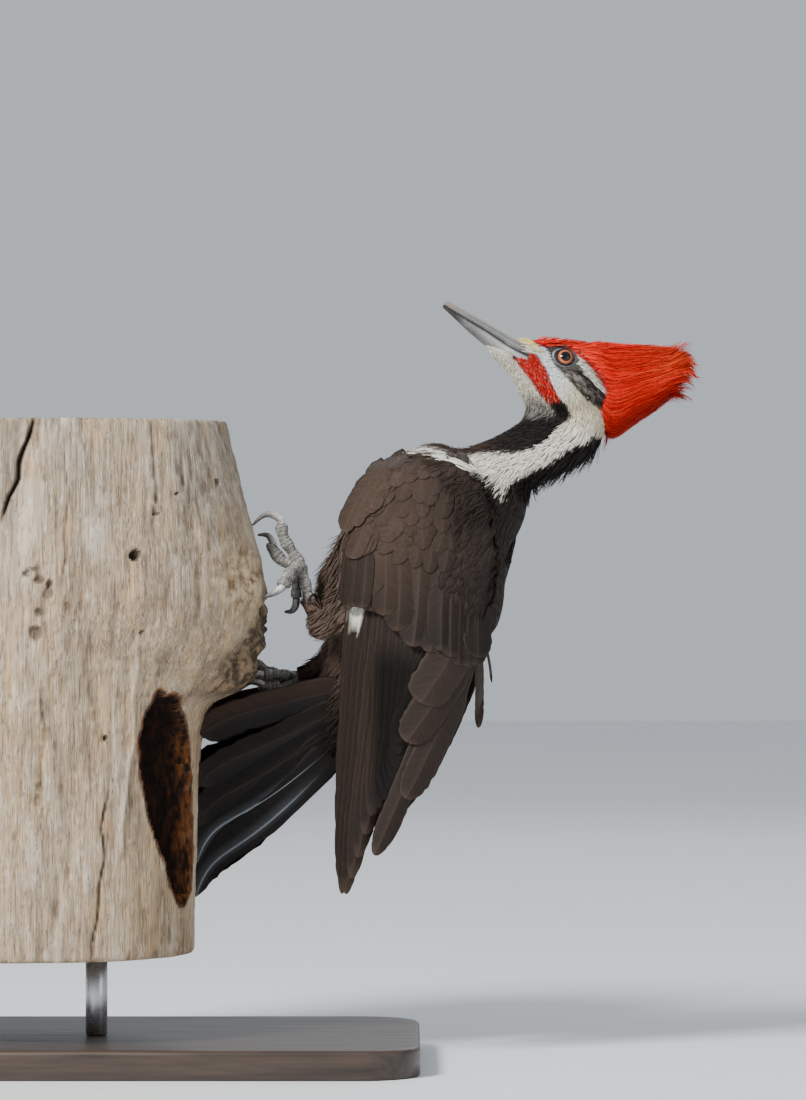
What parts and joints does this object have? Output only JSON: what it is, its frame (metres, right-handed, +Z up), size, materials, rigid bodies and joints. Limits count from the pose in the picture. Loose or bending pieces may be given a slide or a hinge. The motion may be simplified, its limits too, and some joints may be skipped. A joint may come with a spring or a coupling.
{
  "type": "woodpecker model",
  "caption": "Life-size male pileated woodpecker with a swept red crest, clinging to a short length of dead trunk and braced on its tail, on a plain display stand.",
  "frame": {"origin": "centre of the underside of the stand's base", "axes": "+Z up; +X from the trunk towards the bird, which faces it with its back to +X; the bird's left side faces -Y"},
  "size_m": [0.482, 0.2219, 0.4178],
  "materials": {
    "plumage": "matt brown-black feathers",
    "head_plumage": "white, black and red feathers",
    "crest": "silky scarlet feathers",
    "flight_feathers": "stiff, slightly glossy black vanes",
    "bill_horn": "slate-grey horn, satin",
    "eye": "clear wet surface over an orange-red iris",
    "foot_skin": "grey scaly skin",
    "claw_horn": "dark grey horn",
    "dead_wood": "weathered, cracked, matt",
    "stand_wood": "dark stained, satin",
    "stand_steel": "brushed"
  },
  "bodies": {
    "root": {"stand_base": "stand_wood", "stand_rod_back": "stand_steel", "stand_rod_front": "stand_steel", "perch_log": "dead_wood", "trunk": "plumage", "tail_coverts": "plumage", "neck": "plumage", "head": "head_plumage", "crest": "crest", "bill_upper": "bill_horn", "bill_lower": "bill_horn", "eye_left": "eye", "eye_right": "eye", "tail_left": "flight_feathers", "tail_right": "flight_feathers", "wing_left_coverts": "plumage", "wing_left_secondaries": "flight_feathers", "wing_left_primaries": "flight_feathers", "thigh_left": "plumage", "tarsus_left": "foot_skin", "foot_left": "foot_skin", "claw_left_toe_1": "claw_horn", "claw_left_toe_2": "claw_horn", "claw_left_toe_3": "claw_horn", "claw_left_toe_4": "claw_horn", "wing_right_coverts": "plumage", "wing_right_secondaries": "flight_feathers", "wing_right_primaries": "flight_feathers", "thigh_right": "plumage", "tarsus_right": "foot_skin", "foot_right": "foot_skin", "claw_right_toe_1": "claw_horn", "claw_right_toe_2": "claw_horn", "claw_right_toe_3": "claw_horn", "claw_right_toe_4": "claw_horn"}
  },
  "joints": []
}
